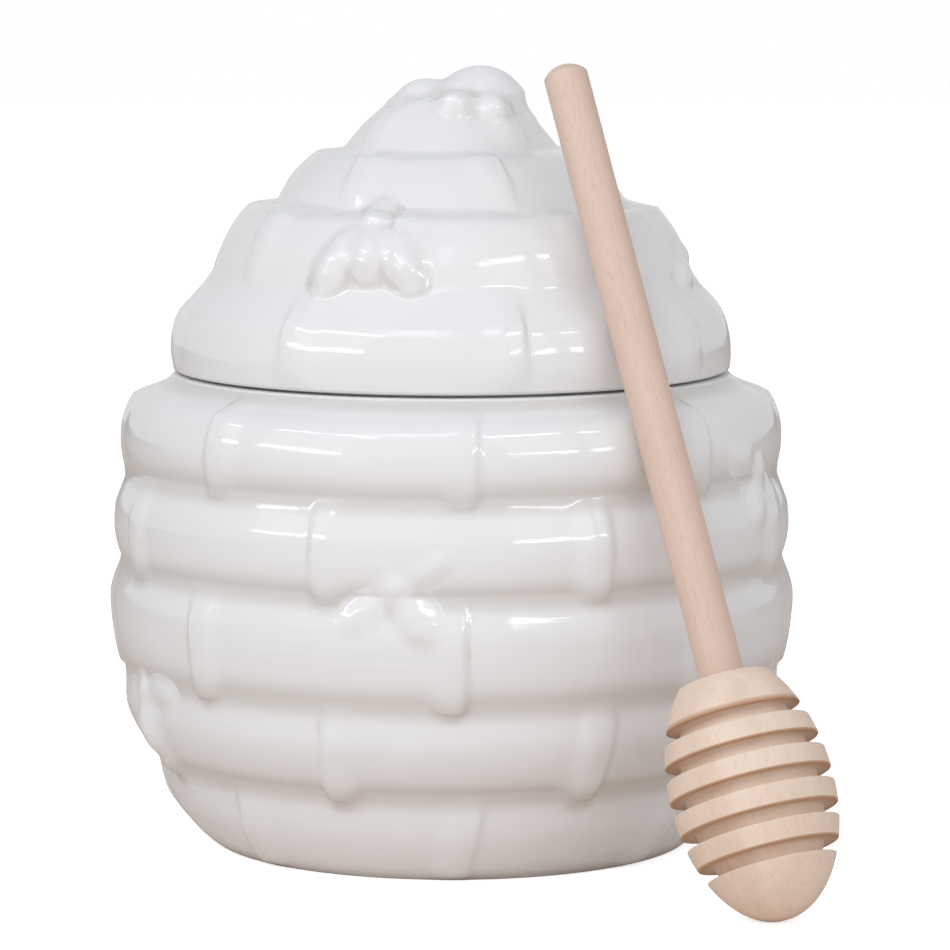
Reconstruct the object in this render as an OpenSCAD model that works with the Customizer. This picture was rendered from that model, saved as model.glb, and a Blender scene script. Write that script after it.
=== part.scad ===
// Beehive honey jar: a coiled stoneware pot, its lift-off lid and a wooden honey dipper that
// leans on the pot. Millimetres, +Z up. The origin is the centre of the pot's foot, on the
// table, and -Y is the front. Angles round the jar are counted from the front, to the right.

/* [Pot coils] */
// Outer radius of the foot ring that stands on the table
foot_r = 44.6; // [42:0.1:47]
// Height of coil 1, the foot coil
coil_1_h = 18.0; // [15:0.1:20]
// Height of coil 2
coil_2_h = 17.1; // [15:0.1:20]
// Height of coil 3, the widest
coil_3_h = 19.2; // [16:0.1:22]
// Height of coil 4
coil_4_h = 17.0; // [15:0.1:20]
// Height of coil 5, the mouth coil
coil_5_h = 17.0; // [15:0.1:19]
// Radius at the bottom of the groove between coils 1 and 2
groove_1_r = 56.0; // [54:0.1:58]
// Radius at the bottom of the groove between coils 2 and 3
groove_2_r = 61.8; // [60:0.1:63]
// Radius at the bottom of the groove between coils 3 and 4
groove_3_r = 62.0; // [60:0.1:64]
// Radius at the bottom of the groove between coils 4 and 5
groove_4_r = 60.5; // [58:0.1:62]
// How far coil 1 swells past the line between its two grooves
swell_1 = 2.0; // [1.2:0.1:3.5]
// How far coil 2 swells
swell_2 = 2.2; // [1.2:0.1:3.5]
// How far coil 3 swells
swell_3 = 1.6; // [1:0.1:3]
// How far coil 4 swells
swell_4 = 1.8; // [1:0.1:3]
// How far coil 5 swells
swell_5 = 4.3; // [3.5:0.1:6]

/* [Lid coils] */
// Height of lid coil 1, above the seam
lid_1_h = 19.1; // [16:0.1:21]
// Height of lid coil 2
lid_2_h = 12.9; // [10:0.1:14]
// Height of lid coil 3
lid_3_h = 9.7; // [8:0.1:12]
// Height of lid coil 4, the crown
lid_4_h = 8.5; // [7.5:0.1:11]
// Radius at the groove between lid coils 1 and 2
lid_groove_1_r = 44.3; // [42:0.1:46]
// Radius at the groove between lid coils 2 and 3
lid_groove_2_r = 32.3; // [30:0.1:34]
// Radius at the groove between lid coils 3 and 4
lid_groove_3_r = 19.8; // [17:0.1:22]
// Radius of the crown's flat top, under the knob bee
crown_r = 11.5; // [9:0.1:13]
// How far lid coil 1 swells
lid_swell_1 = 2.8; // [2:0.1:4]
// How far lid coil 2 swells
lid_swell_2 = 2.9; // [2:0.1:4]
// How far lid coil 3 swells
lid_swell_3 = 1.8; // [1:0.1:3]
// How far lid coil 4 swells
lid_swell_4 = 0.4; // [0.2:0.1:1.2]

/* [Walls and lid fit] */
// Wall of the pot, measured from the grooves inwards
wall = 4.5; // [3.5:0.1:6]
// Wall of the lid, measured from the grooves inwards
lid_wall = 4.2; // [3.5:0.1:5.5]
// Thickness of the pot's floor
floor_t = 5; // [4:0.1:7]
// Width of the foot ring
foot_w = 4; // [3:0.1:6]
// Depth of the recess inside the foot ring
foot_recess = 1.5; // [1:0.1:2.5]
// Outer radius where the lid meets the pot
rim_r = 52.0; // [50:0.1:54]
// Width of the rim that the lid sits on
rim_w = 6; // [5:0.1:7.5]
// Bevel on both edges of the seam, which makes its dark line
rim_edge = 0.6; // [0.3:0.1:1]
// Height of the straight neck inside the mouth
neck_h = 7; // [6:0.1:9]
// Depth of the ring under the lid that keeps it centred
flange_h = 5; // [4:0.1:5.5]
// Thickness of that ring at its lower edge
flange_t = 3.2; // [2.5:0.1:4.5]
// Slope of the ring's outside, so that the lid comes out at a slant
flange_draft = 23; // [18:0.5:28]
// Clearance between the ring and the mouth
lid_clearance = 0.8; // [0.5:0.1:1.2]

/* [Straw bindings] */
// Width of a binding along the coil
binding_w = 5.5; // [4:0.1:7]
// How far a binding stands proud of its coil
binding_proud = 0.9; // [0.5:0.1:1.2]
// Bindings on each coil of the pot and of the lid's lower coils
binding_count = 8; // [6:1:10]
// Bindings on lid coil 3
lid_3_binding_count = 7; // [5:1:8]
// Bindings on the crown
crown_binding_count = 4; // [3:1:5]

/* [Bees] */
// Length of a bee, from its head to the tip of its tail
bee_len = 17.5; // [15:0.5:20]
// Length of a wing of a bee on the pot
wing_len = 11; // [9:0.5:13]
// Length of a wing of a bee on the lid
lid_wing_len = 15.5; // [13:0.5:17]
// Radius of the body of the bee that is the lid's knob
knob_r = 7.9; // [7:0.1:8.5]

/* [Dipper] */
// Diameter of the dowel handle
handle_d = 8; // [7:0.1:9]
// Length of the handle that shows above the head
handle_len = 116; // [100:1:125]
// Depth of the blind hole that the handle is glued into
socket_depth = 20; // [14:0.5:26]
// Glue gap round the handle in its hole
glue_gap = 0.1; // [0.05:0.05:0.2]
// Rise of the rounded top end of the handle
handle_crown = 2; // [1:0.1:3]
// Greatest radius of the turned head
head_r = 14.5; // [13:0.1:16]
// Height of the head above its widest place, if it ran on to a point
head_upper = 24.6; // [23:0.1:27]
// Depth of the head below its widest place
head_lower = 23; // [21:0.1:25]
// Distance from the head's flat top to its widest place
head_shoulder = 20.5; // [19:0.1:21.5]
// Height of the cap above the first groove
cap_h = 7.1; // [6:0.1:8]
// Number of honey grooves
groove_count = 5; // [3:1:5]
// Width of a honey groove
groove_w = 2.3; // [1.8:0.1:2.6]
// Depth of a honey groove
groove_depth = 2.7; // [2:0.1:3.2]
// Width of a ring between two grooves
ring_w = 3.9; // [3.2:0.1:4.2]
// Slant of the leaning dipper from upright
lean = 24.5; // [20:0.5:28]
// Where round the jar the dipper leans
lean_side = 34.9; // [20:0.5:50]
// Gap between the handle and the pot that it rests on
lean_gap = 0.25; // [0.1:0.05:0.4]

/* [Hidden] */
$fn = 96;

// A coil's section: how full it is below its peak, and how soon it falls off above it
coil_belly = 2.6;
coil_shoulder = 0.85;
// Straight steps along a coil's outside, along a binding and along a coil's softer inside
coil_steps = 10;
binding_steps = 8;
inner_steps = 5;
// Share of the outer swell that shows inside the wall
inner_share = 0.4;

// Heights of the grooves and of the seam between pot and lid
z1 = coil_1_h;
z2 = z1 + coil_2_h;
z3 = z2 + coil_3_h;
z4 = z3 + coil_4_h;
rim_z = z4 + coil_5_h;
lid_z1 = rim_z + lid_1_h;
lid_z2 = lid_z1 + lid_2_h;
lid_z3 = lid_z2 + lid_3_h;
crown_z = lid_z3 + lid_4_h;
crown_rise = 3;
mouth_r = rim_r - rim_w;

// Places where the coils meet, as [radius, height], from the foot up
pot_seams = [[foot_r, 0], [groove_1_r, z1], [groove_2_r, z2], [groove_3_r, z3],
             [groove_4_r, z4], [rim_r, rim_z - rim_edge]];
pot_swells = [swell_1, swell_2, swell_3, swell_4, swell_5];
// Where each coil is fullest, as a share of its height
pot_peaks = [0.54, 0.5, 0.58, 0.5, 0.6];
// Where each coil's row of bindings starts
pot_turns = [2, -19.5, 0, -20.5, 2];

lid_seams = [[rim_r, rim_z + rim_edge], [lid_groove_1_r, lid_z1], [lid_groove_2_r, lid_z2],
             [lid_groove_3_r, lid_z3], [crown_r, crown_z]];
lid_swells = [lid_swell_1, lid_swell_2, lid_swell_3, lid_swell_4];
lid_peaks = [0.5, 0.7, 0.7, 0.5];
lid_turns = [12, -10, 15.5, -50];
lid_counts = [binding_count, binding_count, lid_3_binding_count, crown_binding_count];

// Sideways direction, out of the jar, for a step from seam a to seam b
function outward(a, b) = [b.y - a.y, a.x - b.x] / norm(b - a);

// Fullness along a coil: 0 at its two ends and 1 at its peak
function fullness(t, peak) =
    t < peak ? 1 - pow(1 - t / peak, coil_belly)
             : (1 + cos(180 * pow((t - peak) / (1 - peak), coil_shoulder))) / 2;

// Outline of one coil from its lower seam a to its upper seam b, closer steps near the ends
function coil_line(a, b, swell, peak, steps) =
    [for (i = [0 : steps])
        let (t = (1 - cos(180 * i / steps)) / 2)
        a + (b - a) * t + outward(a, b) * swell * fullness(t, peak)];

function reversed(list) = [for (i = [len(list) - 1 : -1 : 0]) list[i]];

// Whole outside of a stack of coils, each seam once
function stack_line(seams, swells, peaks) =
    [for (c = [0 : len(swells) - 1])
        let (line = coil_line(seams[c], seams[c + 1], swells[c], peaks[c], coil_steps))
        for (i = [(c == 0 ? 0 : 1) : coil_steps]) line[i]];

pot_outside = stack_line(pot_seams, pot_swells, pot_peaks);
lid_outside = stack_line(lid_seams, lid_swells, lid_peaks);

// Inside of a wall, coil by coil, a wall's thickness in from the seams
function inside_line(seams, swells, peaks, thick) =
    [for (c = [0 : len(swells) - 1])
        let (in_a = [thick, 0], a = seams[c] - in_a, b = seams[c + 1] - in_a)
        let (line = coil_line(a, b, inner_share * swells[c], peaks[c], inner_steps))
        for (i = [(c == 0 ? 0 : 1) : inner_steps]) line[i]];

// Inside of the pot: floor corner, four seams, and the bottom of the neck
pot_floor_z = foot_recess + floor_t;
pot_inside = inside_line(
    [[foot_r + wall / 2, pot_floor_z], pot_seams[1], pot_seams[2], pot_seams[3], pot_seams[4],
     [mouth_r + wall, rim_z - neck_h]],
    pot_swells, pot_peaks, wall);

// Inside of the lid: top of the flange, two seams, and the underside of the crown
flange_r = mouth_r - lid_clearance;
flange_foot_r = flange_r - flange_h * tan(flange_draft);
flange_inner_r = flange_foot_r - flange_t;
lid_inside = inside_line(
    [[flange_inner_r + lid_wall, rim_z + lid_wall], lid_seams[1] - [0, lid_wall / 2],
     lid_seams[2] - [0, lid_wall / 2], lid_seams[3] - [0, lid_wall]],
    [lid_swell_1, lid_swell_2, lid_swell_3], lid_peaks, lid_wall);

// The dipper's head is an egg: this is its radius at a distance s below its flat top
function egg_r(s) =
    let (u = (s - head_shoulder) / (s < head_shoulder ? head_upper : head_lower))
    head_r * sqrt(max(0, 1 - u * u));
head_len = head_shoulder + head_lower;
pitch = groove_w + ring_w;
// Height of the egg's middle when it leans on its rounded end
egg_z = norm([head_lower * cos(lean), head_r * sin(lean)]);
// Distance of the egg's middle from the jar's axis, at which the handle just clears the coils
egg_out = max([for (p = concat(pot_outside, lid_outside))
    p.x + ((p.y - egg_z) * sin(lean) + handle_d / 2 + lean_gap) / cos(lean)]);

// How deep a binding's root lies in its coil, at its face and at its back
binding_root = 1;
binding_depth = 2.5;

// A bee's greatest radius as a share of its length, its thorax and head as shares of that,
// and how deep its middle lies in the wall; a wing's radius as a share of its length
tail_share = 0.2;
thorax_share = 0.85;
head_share = 0.8;
sunk_share = 0.15;
wing_share = 0.255;
// Bees on the pot and on the lid: turn round the jar, radius, height, slope of the wall there,
// heading, sweep of the wings and length of a wing
pot_bees = [
    [-8, groove_3_r + 0.4 * swell_4, z3 - coil_4_h / 36, 0, 126, 95, wing_len],
    [66, groove_4_r + 0.5 * swell_4, z4 - coil_4_h / 18, 3, 60, 100, wing_len],
    [-66, groove_2_r - 0.3 * swell_2, z2 - 0.3 * coil_2_h, -4, 100, 100, wing_len],
    [150, groove_3_r + 0.5 * swell_4, z3 + coil_4_h / 6, 0, 50, 95, wing_len],
    [-145, groove_2_r + 0.4 * swell_3, z2 + coil_3_h / 9, -3, 150, 100, wing_len]];
lid_bees = [
    [-21, lid_groove_2_r + 2.2 * lid_swell_2, lid_z2 - lid_2_h / 4, 43, 95, 152, lid_wing_len],
    [78, lid_groove_1_r - 0.5 * lid_swell_2, lid_z1 + lid_2_h / 6, 25, 30, 100, wing_len],
    [178, lid_groove_2_r + 2.2 * lid_swell_2, lid_z2 - lid_2_h / 4, 43, 100, 95, wing_len]];
// The lobes of the knob bee, as shares of knob_r: middle, seen from the middle of the crown,
// then its turn and drop, length and radius
knob_lobes = [
    [[0.7, -0.25, -0.15], [0, 0], 2.18, 1],        // body
    [[0.11, -1.43, -0.14], [0, 0], 0.94, 0.47],    // head
    [[0.96, -1.33, -0.22], [0, 0], 0.88, 0.44],    // folded legs
    [[-0.7, -0.2, -0.12], [175, 25], 1.5, 0.66],   // left wing
    [[1.59, -0.38, -0.45], [-10, 50], 1.52, 0.38]]; // right wing

glaze = "#f3f1ec";
handle_wood = "#e3bfa4";
head_wood = "#ead0a8";

// A ring section that starts inside the wall and stands proud of its coil
module binding(a, b, swell, peak) {
    step_in = outward(a, b) * binding_root;
    line = coil_line(a - step_in, b - step_in, swell + binding_root + binding_proud, peak,
        binding_steps);
    arc = binding_w / norm([(a.x + b.x) / 2 + swell, 0]) * 180 / PI;
    depth = [binding_depth, 0];
    rotate([0, 0, -arc / 2])
        rotate_extrude(angle = arc)
            polygon(concat(line, [b - depth, a - depth]));
}

// All bindings of one stack of coils
module bindings(seams, swells, peaks, turns, counts) {
    for (c = [0 : len(swells) - 1], k = [0 : counts[c] - 1])
        rotate([0, 0, turns[c] + 360 * k / counts[c] - 90])
            binding(seams[c], seams[c + 1], swells[c], peaks[c]);
}

// An egg-like lobe that runs from the origin along +X
module lobe(length, r) {
    rotate([0, 90, 0])
        rotate_extrude()
            polygon(concat([[0, 0]], [for (a = [20 : 20 : 180])
                [r * sin(a), length * (1 - cos(a)) / 2]]));
}

// A bee that lies on the XY plane with its head towards +X, and sinks a little into it.
// Its wings point away from the head by the angle sweep.
module bee(sweep, wing) {
    tail_r = tail_share * bee_len;
    wing_r = wing_share * wing;
    translate([0, 0, -sunk_share * tail_r]) {
        rotate([0, 0, 180]) lobe((bee_len + tail_r) / 2, tail_r);
        translate([tail_r * thorax_share, 0, 0] / 2) sphere(r = tail_r * thorax_share);
        translate([bee_len / 3, 0, 0]) sphere(r = tail_r * head_share);
    }
    for (side = [-1, 1])
        translate([tail_r / 2, side * tail_r / 2, -wing_r / 2])
            rotate([0, 0, side * sweep])
                lobe(wing, wing_r);
}

// Puts a list of bees on the jar's wall
module bees(places) {
    for (p = places)
        rotate([0, 0, p[0]])
            translate([0, -p[1], p[2]])
                rotate([90 - p[3], 0, 0])
                    rotate([0, 0, p[4]])
                        bee(p[5], p[6]);
}

// The bee on top of the lid, which serves as its knob
module knob_bee() {
    for (l = knob_lobes)
        translate([0, 0, crown_z] + l[0] * knob_r)
            rotate([0, l[1].y, l[1].x])
                translate([-l[2] / 2 * knob_r, 0, 0])
                    lobe(l[2] * knob_r, l[3] * knob_r);
}

module pot() {
    color(glaze) {
        rotate_extrude()
            polygon(concat(
                [[0, foot_recess], [foot_r - foot_w, foot_recess], [foot_r - foot_w, 0]],
                pot_outside,
                [[rim_r - rim_edge, rim_z], [mouth_r, rim_z]],
                reversed(pot_inside),
                [[0, pot_floor_z]]));
        bindings(pot_seams, pot_swells, pot_peaks, pot_turns,
            [for (c = pot_swells) binding_count]);
        bees(pot_bees);
    }
}

module lid() {
    color(glaze) {
        rotate_extrude()
            polygon(concat(
                [[flange_inner_r, rim_z - flange_h], [flange_foot_r, rim_z - flange_h],
                 [flange_r, rim_z], [rim_r - rim_edge, rim_z]],
                lid_outside,
                [[0, crown_z + crown_rise], [0, crown_z - lid_wall]],
                reversed(lid_inside)));
        bindings(lid_seams, lid_swells, lid_peaks, lid_turns, lid_counts);
        bees(lid_bees);
        knob_bee();
    }
}

// Moves a piece from the egg's own frame, top up and middle at the origin, to where it leans
module leaning() {
    rotate([0, 0, lean_side])
        translate([0, -egg_out, egg_z])
            rotate([-lean, 0, 0])
                children();
}

module dipper_head() {
    // One side of the head from its flat top to the end of its rounded tip
    function side(from, to, depth) =
        [for (i = [0 : 4]) let (s = from + (to - from) * i / 4) [egg_r(s) - depth, -s]];
    first = cap_h;
    last = cap_h + groove_count * pitch - ring_w;
    color(head_wood)
        leaning()
            translate([0, 0, head_shoulder])
                difference() {
                    rotate_extrude()
                        polygon(concat(
                            [[0, 0]], side(0, cap_h, 0),
                            [for (g = [0 : groove_count - 1])
                                let (s = first + g * pitch)
                                each concat(side(s, s + groove_w, groove_depth),
                                    g < groove_count - 1 ? side(s + groove_w, s + pitch, 0) : [])],
                            [for (a = [acos((last - head_shoulder) / head_lower) : -5 : 5])
                                [head_r * sin(a), -head_shoulder - head_lower * cos(a)]],
                            [[0, -head_len]]));
                    translate([0, 0, -socket_depth])
                        cylinder(d = handle_d + 2 * glue_gap, h = socket_depth + 1);
                }
}

module dipper_handle() {
    crown_ball = (handle_d * handle_d / 4 + handle_crown * handle_crown) / (2 * handle_crown);
    top = handle_len + socket_depth;
    color(handle_wood)
        leaning()
            translate([0, 0, head_shoulder - socket_depth])
                rotate_extrude()
                    polygon(concat([[0, 0], [handle_d / 2, 0]],
                        [for (i = [0 : 8])
                            let (r = handle_d / 2 * (1 - i / 8))
                            [r, top - crown_ball + sqrt(crown_ball * crown_ball - r * r)]]));
}

pot();
lid();
dipper_head();
dipper_handle();
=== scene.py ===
# %% [markdown]
# # A coiled honey pot with its dipper
#
# The real pot is pressed stoneware under a thick white gloss glaze. Its wall copies an old
# straw hive: five coils on the pot and four on the lid, tied down by short straw bindings,
# with small bees pressed onto them. A turned wooden dipper leans on its right side.
#
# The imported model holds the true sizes. Every piece made here stands for one of its nodes and
# stays where that node is. Lengths are written in millimetres times MM, because the scene is
# in metres.

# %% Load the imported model
import math

import bmesh
import bpy
import numpy as np
from mathutils import Matrix, Vector, noise
from mathutils.bvhtree import BVHTree


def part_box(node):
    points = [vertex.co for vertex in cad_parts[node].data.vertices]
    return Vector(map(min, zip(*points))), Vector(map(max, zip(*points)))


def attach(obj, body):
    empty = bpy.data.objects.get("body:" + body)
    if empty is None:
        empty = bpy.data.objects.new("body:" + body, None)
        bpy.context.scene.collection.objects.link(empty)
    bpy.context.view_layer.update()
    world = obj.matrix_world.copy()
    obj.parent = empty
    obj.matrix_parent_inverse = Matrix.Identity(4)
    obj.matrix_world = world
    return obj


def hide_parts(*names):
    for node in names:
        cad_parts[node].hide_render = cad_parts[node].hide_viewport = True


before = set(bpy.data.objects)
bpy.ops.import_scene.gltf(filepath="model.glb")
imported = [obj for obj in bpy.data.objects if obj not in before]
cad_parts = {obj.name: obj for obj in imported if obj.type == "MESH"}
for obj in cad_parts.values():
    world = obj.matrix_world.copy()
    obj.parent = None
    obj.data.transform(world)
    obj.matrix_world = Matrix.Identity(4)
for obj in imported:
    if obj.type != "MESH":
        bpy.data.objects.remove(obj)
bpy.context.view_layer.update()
MM = 0.001

# %% [markdown]
# ## The camera
#
# The coils bend only slightly, so the view is from far off with a long lens, a little above the
# lid. If the jar is as big as the model, the camera is about 93 cm away. The distance, height
# and lens below were fitted until the outline matched.
# Having the camera first lets every later step be judged in the same view.

# %% Camera
CAMERA_PLACE = Vector((4.4, -930, 181.2)) * MM
CAMERA_PITCH = math.radians(6.928)
SENSOR = 36.0
PICTURE_SIDE = 950
FOCAL_PIXELS = 4991

camera_data = bpy.data.cameras.new("camera")
camera_data.sensor_width = SENSOR
camera_data.lens = FOCAL_PIXELS * SENSOR / PICTURE_SIDE
camera = bpy.data.objects.new("camera", camera_data)
camera.location = CAMERA_PLACE
camera.rotation_euler = (math.pi / 2 - CAMERA_PITCH, 0, 0)
bpy.context.scene.collection.objects.link(camera)
bpy.context.scene.camera = camera
print("lens", round(camera_data.lens, 1), "mm")

# %% [markdown]
# ## Formulas in a node tree
#
# The wall of the pot follows a rule, so Geometry Nodes can make it. Rules are easier to read
# as formulas than as dozens of linked boxes. The small class below adds a Math node for every
# plus, minus or times sign, so that a tree can be written like a sum.

# %% Field, a number that a node tree works out at each point
class Field:
    """A value in a node tree. Sums and products of Fields add Math nodes to that tree."""

    def __init__(self, tree, socket):
        self.tree = tree
        self.socket = socket

    def math(self, operation, *others):
        node = self.tree.nodes.new("ShaderNodeMath")
        node.operation = operation
        for place, value in zip(node.inputs, (self, *others)):
            connect(self.tree, value, place)
        return Field(self.tree, node.outputs[0])

    def __add__(self, other):
        return self.math("ADD", other)

    def __sub__(self, other):
        return self.math("SUBTRACT", other)

    def __mul__(self, other):
        return self.math("MULTIPLY", other)

    def __truediv__(self, other):
        return self.math("DIVIDE", other)

    def __pow__(self, other):
        return self.math("POWER", other)

    def towards(self, other, share):
        """This value at share 0, and the other one at share 1."""
        return self + (other - self) * share

    def rises(self, start, end):
        """0 before start, 1 after end, and smooth in between."""
        node = self.tree.nodes.new("ShaderNodeMapRange")
        node.interpolation_type = "SMOOTHSTEP"
        for name, value in (("Value", self), ("From Min", start), ("From Max", end)):
            connect(self.tree, value, node.inputs[name])
        return Field(self.tree, node.outputs["Result"])


def connect(tree, value, place):
    """Feeds a node's input with a Field, another node's output or a plain value."""
    if isinstance(value, Field):
        tree.links.new(value.socket, place)
    elif isinstance(value, bpy.types.NodeSocket):
        tree.links.new(value, place)
    else:
        place.default_value = value


def add(tree, kind, settings=(), **inputs):
    """A new node with its settings and inputs. An underscore stands for a space in a name."""
    node = tree.nodes.new(kind)
    for name, value in dict(settings).items():
        setattr(node, name, value)
    for name, value in inputs.items():
        connect(tree, value, node.inputs[name.replace("_", " ")])
    return node


# %% [markdown]
# ## A tree with named inputs
#
# A tree that names its inputs can be read and changed without opening it. A modifier keeps the
# value of an input under the socket's identifier, not under its name, so both are matched here
# before the object is evaluated. The result is taken as a plain mesh.

# %% Make and run a tree
def new_tree(name, inputs):
    """An empty Geometry Nodes tree, with its group input and group output nodes."""
    tree = bpy.data.node_groups.new(name, "GeometryNodeTree")
    tree.interface.new_socket("Geometry", in_out="INPUT", socket_type="NodeSocketGeometry")
    for label, kind in inputs.items():
        tree.interface.new_socket(label, in_out="INPUT", socket_type=f"NodeSocket{kind}")
    tree.interface.new_socket("Geometry", in_out="OUTPUT", socket_type="NodeSocketGeometry")
    return tree, tree.nodes.new("NodeGroupInput"), tree.nodes.new("NodeGroupOutput")


def bake(obj, tree, values):
    """Runs a tree on an object with the named input values and returns a plain mesh."""
    modifier = obj.modifiers.new(tree.name, "NODES")
    modifier.node_group = tree
    for item in tree.interface.items_tree:
        if item.item_type == "SOCKET" and item.in_out == "INPUT" and item.name in values:
            modifier[item.identifier] = values[item.name]
    bpy.context.view_layer.update()
    depsgraph = bpy.context.evaluated_depsgraph_get()
    mesh = bpy.data.meshes.new_from_object(obj.evaluated_get(depsgraph), depsgraph=depsgraph)
    obj.modifiers.remove(modifier)
    return mesh


def show(name, mesh):
    """A new object for a mesh, in the scene."""
    obj = bpy.data.objects.new(name, mesh)
    bpy.context.scene.collection.objects.link(obj)
    return obj


# %% [markdown]
# ## The coiled wall
#
# On the real pot each coil is a fat rope of straw. In section its lower side runs straight out
# from the seam below, and its upper side rolls over and flows into the seam above. So the wall
# needs only a list of seams, each with the bulge of the coil above it.
#
# The tree rolls a flat grid round the jar and works out for every point which coil it is on
# and how full that coil is there. A binding is a strap over the coil. The clay was pressed in a
# mould of two halves, so the edge of a strap that looks away from the middle of its half is
# crisp and the other one fades, and its lower end hooks over the coil below. Thin flutes along
# the coil stand for the straws, and two slow noises keep the wall from looking machined.
#
# Glaze runs off the swells and gathers in corners. How far a point is down in a seam is kept as
# "pool_and_shade", more so on a coil's underside, and how far it lies under its neighbours'
# average is kept as "hollow". Both darken the glaze colour: a little of that is glaze that
# gathers, most of it is painted shade.

# %% Tree for a coiled wall
WALL_INPUTS = {
    "Columns": "Int", "Rows per coil": "Int", "Belly": "Float", "Shoulder": "Float",
    "Binding width": "Float", "Binding height": "Float", "Crisp edge": "Float",
    "Soft edge": "Float", "Hook drop": "Float", "Flute depth": "Float", "Flute pitch": "Float",
    "Unevenness": "Float", "Glaze softening": "Int", "Pooling and shade": "Float",
    "Material": "Material",
}
HOLLOW_SPREAD = 4


def coiled_wall_tree():
    """A wall from seam points at (radius, 0, height) that carry the shape of their coil."""
    tree, given, out = new_tree("coiled_wall", WALL_INPUTS)

    def setting(name):
        return Field(tree, given.outputs[name])

    def one(kind, output=0, **inputs):
        return Field(tree, add(tree, kind, **inputs).outputs[output])

    def vector(x=0.0, y=0.0, z=0.0):
        return one("ShaderNodeCombineXYZ", X=x, Y=y, Z=z)

    seams = given.outputs["Geometry"]
    columns, rows_each = setting("Columns"), setting("Rows per coil")
    coils = one("GeometryNodeAttributeDomainSize", "Point Count", Geometry=seams) - 1.0
    rows = coils * rows_each
    grid = add(tree, "GeometryNodeMeshGrid", Vertices_X=columns + 1.0, Vertices_Y=rows + 1.0)

    # Which column, row and coil a point is on, and how far up the coil
    index = one("GeometryNodeInputIndex")
    column = (index / (rows + 1.0)).math("FLOOR")
    row = index - column * (rows + 1.0)
    coil = (row / rows_each).math("FLOOR").math("MINIMUM", coils - 1.0)
    step = (row - coil * rows_each) / rows_each
    along = (step * math.pi).math("COSINE") * -0.5 + 0.5
    angle = column / columns * math.tau
    cos_angle, sin_angle = angle.math("COSINE"), angle.math("SINE")

    def sample(kind, value, at):
        return one_of(add(tree, "GeometryNodeSampleIndex", {"data_type": kind},
                          Geometry=seams, Value=value, Index=at))

    def one_of(node):
        return node.outputs[0]

    def seam(at):
        place = sample("FLOAT_VECTOR", one("GeometryNodeInputPosition"), at)
        parts = add(tree, "ShaderNodeSeparateXYZ", Vector=place)
        return Field(tree, parts.outputs["X"]), Field(tree, parts.outputs["Z"])

    def shape(name, at):
        stored = add(tree, "GeometryNodeInputNamedAttribute", {"data_type": "FLOAT"}, Name=name)
        return Field(tree, sample("FLOAT", stored.outputs["Attribute"], at))

    # The coil's chord from seam to seam, and the direction that points out of it
    r0, z0 = seam(coil)
    r1, z1 = seam(coil + 1.0)
    swell, peak = shape("swell", coil), shape("peak", coil)
    rise, narrowing = z1 - z0, r0 - r1
    chord = (rise ** 2.0 + narrowing ** 2.0) ** 0.5
    radius, height = r0.towards(r1, along), z0.towards(z1, along)

    # Fullness: 0 at the seams and 1 at the peak
    under = (along / peak * -1.0 + 1.0).math("MAXIMUM", 0.0) ** setting("Belly") * -1.0 + 1.0
    past = ((along - peak) / (peak * -1.0 + 1.0)).math("MAXIMUM", 0.0) ** setting("Shoulder")
    over = (past * math.pi).math("COSINE") * 0.5 + 0.5
    full = under.towards(over, along.math("GREATER_THAN", peak))

    def strap_of(which, share):
        """1 on a strap of a coil and 0 off it, counted from the coil's own turn."""
        pitch = (shape("count", which) ** -1.0) * math.tau
        turned = angle - shape("turn", which) - (share - 0.5) * shape("slant", which)
        off_middle = turned - pitch * (turned / pitch).math("ROUND")
        half_of_mould = (angle - off_middle).math("COSINE").math("SIGN")
        outer = off_middle * half_of_mould * radius
        half = setting("Binding width") * 0.5
        crisp, soft = setting("Crisp edge"), setting("Soft edge")
        return (half - outer).rises(crisp * -1.0, crisp) * (outer + half).rises(soft * -1.0, soft)

    # A strap ends under the coil above, and reaches down over the seam to the coil below
    below_it = coil.math("GREATER_THAN", 0.5)
    above_it = (coil + 1.0).math("LESS_THAN", coils)
    hooked = along.rises(0.01, 0.08).math("MAXIMUM", below_it)
    own = strap_of(coil, along) * hooked * (along * -1.0 + 1.0).rises(0.02, 0.25)
    upper = strap_of(coil + 1.0, along * 0.0) * along.rises(0.84, 1.0) * above_it
    drop = own * below_it * (along.rises(0.0, 0.3) * -1.0 + 1.0) + upper
    straps = own.math("MAXIMUM", upper)

    def noise(size, tall):
        spot = vector(cos_angle * size, sin_angle * size, height * tall)
        return Field(tree, add(tree, "ShaderNodeTexNoise", Vector=spot, Scale=1.0, Detail=1.0)
                     .outputs[0]) - 0.5

    upwards = row / rows
    within = upwards.rises(0.0, 0.05) * (upwards * -1.0 + 1.0).rises(0.0, 0.05)
    uneven = setting("Unevenness")
    bumpy = noise(2.2, 35.0) * uneven * within
    drift = noise(1.3, 12.0) * uneven * within
    flutes = noise(2.0, setting("Flute pitch") ** -1.0) * setting("Flute depth") * full

    relief = swell * full + straps * setting("Binding height") + bumpy + flutes
    out_r, out_z = rise / chord, narrowing / chord
    far = radius + out_r * relief
    level = height + out_z * relief + drift - drop * setting("Hook drop")
    place = vector(far * cos_angle, far * sin_angle, level)
    wall = add(tree, "GeometryNodeSetPosition", Geometry=grid.outputs["Mesh"], Position=place)

    def keep(geometry, name, value):
        return add(tree, "GeometryNodeStoreNamedAttribute", {"data_type": "FLOAT"},
                   Geometry=geometry.outputs[0], Name=name, Value=value)

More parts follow.
